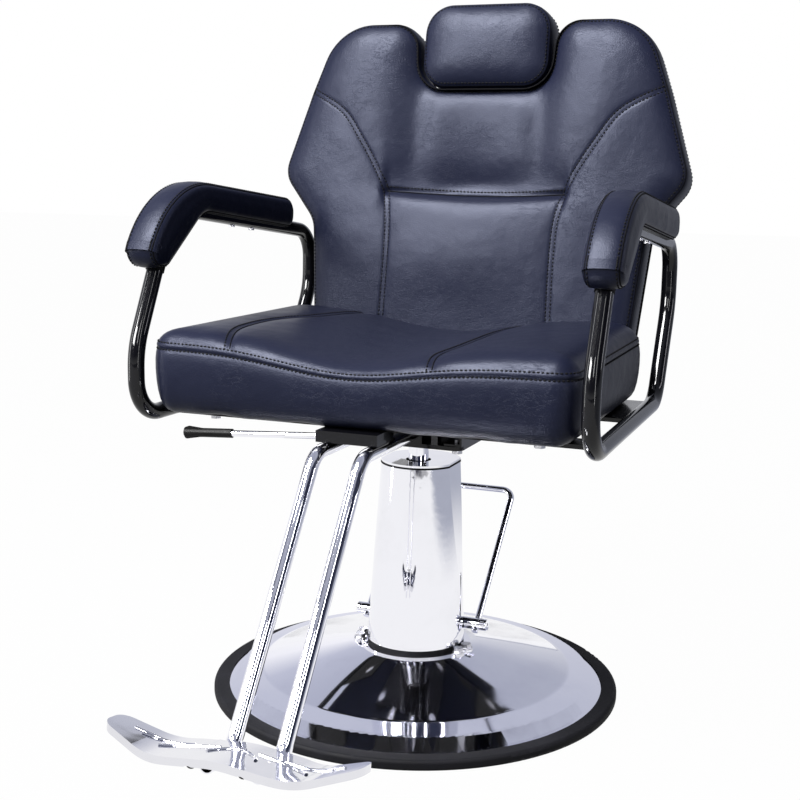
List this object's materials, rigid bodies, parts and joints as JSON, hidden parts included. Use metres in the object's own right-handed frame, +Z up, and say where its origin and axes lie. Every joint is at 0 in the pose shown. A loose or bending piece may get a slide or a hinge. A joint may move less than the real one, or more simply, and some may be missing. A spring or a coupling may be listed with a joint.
{
  "type": "reclining salon chair",
  "caption": "Height-adjustable, swivelling and reclining padded salon chair on a round chromed base, with padded arm loops, a footrest, a pump lever and a sliding headrest.",
  "frame": {"origin": "centre of the round base, on the floor", "axes": "+Z up along the pump column, -Y the way the sitter faces, +X the sitter's left"},
  "size_m": [0.6682, 0.9288, 0.9919],
  "materials": {
    "rubber_black": "satin",
    "chrome": "polished",
    "cast_tread": "polished",
    "paint_black": "gloss",
    "zinc_steel": "satin",
    "leather_black": "satin",
    "cover_black": "satin",
    "board_wood": "matte",
    "plastic_black": "satin"
  },
  "bodies": {
    "base": {"base_ring": "rubber_black", "base_dish": "chrome", "pump_flange": "paint_black", "flange_bolts": "zinc_steel", "column_seal": "rubber_black", "column_cover": "chrome", "column_gasket": "rubber_black", "column_top_plate": "chrome", "pump_body": "paint_black", "piston_gland": "zinc_steel"},
    "pump_lever": {"lever_shaft": "chrome", "lever_sleeve_left": "chrome", "lever_sleeve_right": "chrome", "lever_bar": "chrome", "lever_grub_screws": "zinc_steel"},
    "lift": {"piston_rod": "chrome"},
    "seat": {"swivel_socket": "paint_black", "head_plate": "paint_black", "head_bolts": "zinc_steel", "head_rail_left": "paint_black", "head_rail_right": "paint_black", "hinge_ear_left": "paint_black", "hinge_ear_right": "paint_black", "cross_bar": "paint_black", "arm_plate_left": "paint_black", "arm_plate_right": "paint_black", "frame_bolts": "zinc_steel", "seat_board": "board_wood", "seat_cushion": "leather_black", "arm_loop_left": "paint_black", "arm_loop_right": "paint_black", "arm_pad_left": "leather_black", "arm_pad_right": "leather_black", "arm_pad_screws": "zinc_steel", "foot_bracket": "chrome", "tube_saddle": "paint_black", "foot_tube_left": "chrome", "foot_tube_right": "chrome", "tread_buffers": "plastic_black", "foot_tread": "cast_tread", "recline_lever_pin": "zinc_steel", "lock_anchor": "paint_black", "lock_cylinder": "paint_black"},
    "recline_lever": {"recline_rod": "chrome", "recline_grip": "plastic_black"},
    "lock_rod": {"lock_rod": "chrome"},
    "back": {"back_axle": "zinc_steel", "back_arm_left": "paint_black", "back_arm_right": "paint_black", "back_arm_screws": "zinc_steel", "back_cushion": "leather_black", "back_board": "board_wood", "back_cover": "cover_black", "headrest_bush_left": "plastic_black", "headrest_bush_right": "plastic_black", "lock_fork": "paint_black", "lock_pin": "zinc_steel"},
    "headrest": {"headrest_cushion": "leather_black", "headrest_post_left": "chrome", "headrest_post_right": "chrome"}
  },
  "joints": [
    {"name": "pump_stroke", "type": "hinge", "parent": "base", "child": "pump_lever", "pos_m": [0, 0.024, 0.097], "axis": [1, 0, 0], "range_deg": [-33, 0], "stiffness_Nm_per_rad": 2, "springref_deg": 34.38},
    {"name": "lift_slide", "type": "slide", "parent": "base", "child": "lift", "axis": [0, 0, 1], "range_m": [0, 0.15]},
    {"name": "swivel", "type": "hinge", "parent": "lift", "child": "seat", "pos_m": [0, 0, 0.374], "axis": [0, 0, 1], "continuous": true},
    {"name": "recline", "type": "hinge", "parent": "seat", "child": "back", "pos_m": [0, 0.205, 0.428], "axis": [-1, 0, 0], "range_deg": [0, 40]},
    {"name": "lock_slide", "type": "slide", "parent": "seat", "child": "lock_rod", "axis": [0, -1, 0], "range_m": [0, 0.023]},
    {"name": "recline_release", "type": "hinge", "parent": "seat", "child": "recline_lever", "pos_m": [-0.028, -0.243, 0.4134], "axis": [0, 1, 0], "range_deg": [0, 4], "stiffness_Nm_per_rad": 2, "springref_deg": -17.19},
    {"name": "headrest_slide", "type": "slide", "parent": "back", "child": "headrest", "axis": [0, 0.165, 0.9863], "range_m": [0, 0.08]}
  ],
  "couplings": [
    {"joint": "lock_slide", "follows": "recline", "m_per_rad": 0.03233}
  ]
}
